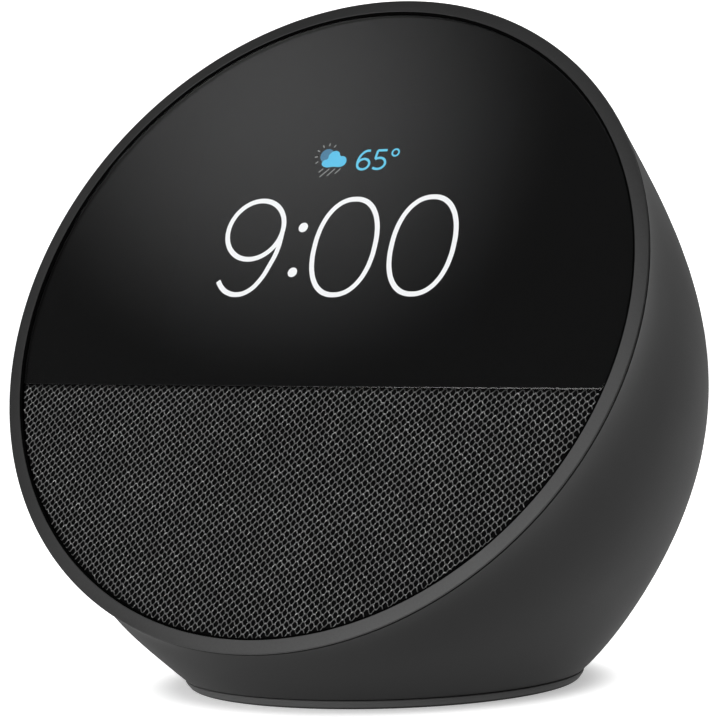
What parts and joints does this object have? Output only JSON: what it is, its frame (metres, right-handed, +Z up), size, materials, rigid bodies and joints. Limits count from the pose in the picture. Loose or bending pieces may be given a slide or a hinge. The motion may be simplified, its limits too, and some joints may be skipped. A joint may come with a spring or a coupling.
{
  "type": "smart display",
  "caption": "Round tilted-face desk smart display: glass over fabric speaker grille in a bezel ring, rounded body, oval rubber foot and rear keys.",
  "frame": {"origin": "centre of the foot's underside, on the table", "axes": "+Z up, the face looks towards -Y and is tilted back 25.3 degrees, +X to the right as seen from behind the camera facing the screen"},
  "size_m": [0.113, 0.1032, 0.1114],
  "materials": {
    "aluminium": "bead blasted",
    "bezel_plastic": "fine matte grain",
    "black_plastic": "moulded",
    "black_print": "printed black",
    "black_rubber": "matte",
    "black_tape": "foam tape",
    "board_green": "solder mask",
    "casing_plastic": "fine matte grain",
    "chassis_plastic": "moulded",
    "chip_black": "moulded package",
    "cone_paper": "coated paper pulp",
    "connector_ivory": "moulded",
    "copper": "enamelled wire",
    "cover_glass": "polished, dark tint",
    "diffuser": "clear to milky",
    "flex_film": "polyimide film",
    "foot_rubber": "matte",
    "gold_plate": "plated",
    "grille_cloth": "open knit mesh",
    "magnet": "plated",
    "red_wire": "insulated wire",
    "screen": "liquid-crystal panel",
    "spider_cloth": "resin-dipped cloth",
    "stamped_steel": "bright"
  },
  "bodies": {
    "case": {"rear_casing": "casing_plastic", "bezel_ring": "bezel_plastic", "cover_glass": "cover_glass", "glass_mask": "black_print", "glass_tape": "black_tape", "lcd_panel": "screen", "light_guide": "diffuser", "backlight_tray": "stamped_steel", "display_flex": "flex_film", "light_sensor": "chip_black", "front_chassis": "chassis_plastic", "chassis_screws": "stamped_steel", "grille_fabric": "grille_cloth", "grille_plate": "black_plastic", "speaker_gasket": "black_tape", "speaker_basket": "black_plastic", "speaker_surround": "black_rubber", "speaker_spider": "spider_cloth", "speaker_top_plate": "stamped_steel", "speaker_magnet": "magnet", "speaker_yoke": "stamped_steel", "speaker_terminals": "gold_plate", "speaker_screws": "stamped_steel", "speaker_enclosure": "black_plastic", "speaker_leads": "red_wire", "main_board": "board_green", "processor": "chip_black", "memory_chip": "chip_black", "shield_can": "stamped_steel", "thermal_pad": "connector_ivory", "heat_spreader": "aluminium", "wifi_module": "stamped_steel", "board_connectors": "connector_ivory", "board_screws": "stamped_steel", "wifi_antennas": "gold_plate", "button_board": "board_green", "button_screws": "stamped_steel", "button_switches": "chip_black", "button_flex": "flex_film", "microphones": "gold_plate", "mic_boots": "black_rubber", "inlet_bezel": "black_plastic", "jack_body": "black_plastic", "jack_contact": "stamped_steel", "power_leads": "black_rubber", "ballast_plate": "stamped_steel", "base_screws": "stamped_steel", "foot_pad": "foot_rubber"},
    "cone": {"speaker_cone": "cone_paper", "dust_cap": "cone_paper", "voice_coil": "copper"},
    "volume_down": {"volume_down_key": "casing_plastic", "volume_down_plunger": "connector_ivory"},
    "mic_off": {"mic_off_key": "casing_plastic", "mic_off_plunger": "connector_ivory"},
    "volume_up": {"volume_up_key": "casing_plastic", "volume_up_plunger": "connector_ivory"}
  },
  "joints": [
    {"name": "volume_down_press", "type": "slide", "parent": "case", "child": "volume_down", "axis": [0, -0.5801, -0.8146], "range_m": [0, 0.0004], "stiffness_N_per_m": 400, "springref_m": -0.001},
    {"name": "mic_off_press", "type": "slide", "parent": "case", "child": "mic_off", "axis": [0, -0.5801, -0.8146], "range_m": [0, 0.0004], "stiffness_N_per_m": 400, "springref_m": -0.001},
    {"name": "volume_up_press", "type": "slide", "parent": "case", "child": "volume_up", "axis": [0, -0.5801, -0.8146], "range_m": [0, 0.0004], "stiffness_N_per_m": 400, "springref_m": -0.001},
    {"name": "cone_excursion", "type": "slide", "parent": "case", "child": "cone", "axis": [0, -0.9041, 0.4274], "range_m": [-0.0012, 0.0012], "stiffness_N_per_m": 1200, "deforming": ["speaker_surround", "speaker_spider"]}
  ]
}
